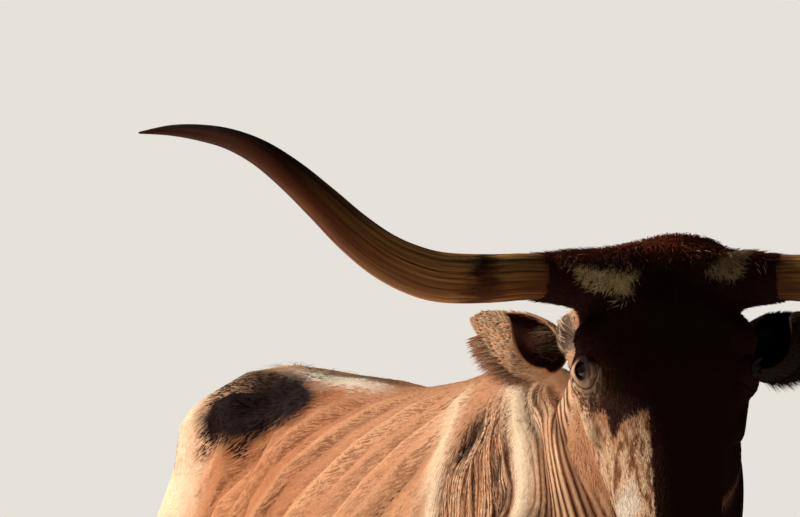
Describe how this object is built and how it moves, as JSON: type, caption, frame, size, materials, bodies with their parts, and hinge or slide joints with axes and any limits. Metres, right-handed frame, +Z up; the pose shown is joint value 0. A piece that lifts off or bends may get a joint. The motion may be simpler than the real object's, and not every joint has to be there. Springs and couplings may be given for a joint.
{
  "type": "texas longhorn steer",
  "caption": "Standing longhorn steer at life size, head turned to its right, with long curved horns, drooping ears and a hanging tail.",
  "frame": {"origin": "on the floor under the middle of the whole animal", "axes": "+Z up, +Y towards the tail, the body facing -Y and the head turned towards -X, the animal's right"},
  "size_m": [1.4531, 2.3175, 1.7498],
  "materials": {
    "body_coat": "short hair lying flat, orange-brown with pale flecks",
    "head_coat": "short hair, dark red-brown with white patches and a tuft on the poll",
    "hoof": "dark horn with growth rings",
    "eye": "wet dark brown",
    "horn": "streaked olive and brown horn, darker to the tip",
    "switch_hair": "long coarse hair in locks"
  },
  "bodies": {
    "root": {"head": "head_coat", "neck": "body_coat", "torso": "body_coat", "foreleg_upper_right": "body_coat", "foreleg_upper_left": "body_coat", "foreleg_lower_right": "body_coat", "foreleg_lower_left": "body_coat", "hind_leg_upper_right": "body_coat", "hind_leg_upper_left": "body_coat", "hind_leg_lower_right": "body_coat", "hind_leg_lower_left": "body_coat", "foreleg_claw_outer_right": "hoof", "foreleg_claw_inner_right": "hoof", "foreleg_claw_outer_left": "hoof", "foreleg_claw_inner_left": "hoof", "hind_leg_claw_outer_right": "hoof", "hind_leg_claw_inner_right": "hoof", "hind_leg_claw_outer_left": "hoof", "hind_leg_claw_inner_left": "hoof", "ear_right": "head_coat", "ear_left": "head_coat", "eye_right": "eye", "eye_left": "eye", "horn_right": "horn", "horn_left": "horn", "tail": "body_coat", "tail_switch": "switch_hair"}
  },
  "joints": []
}
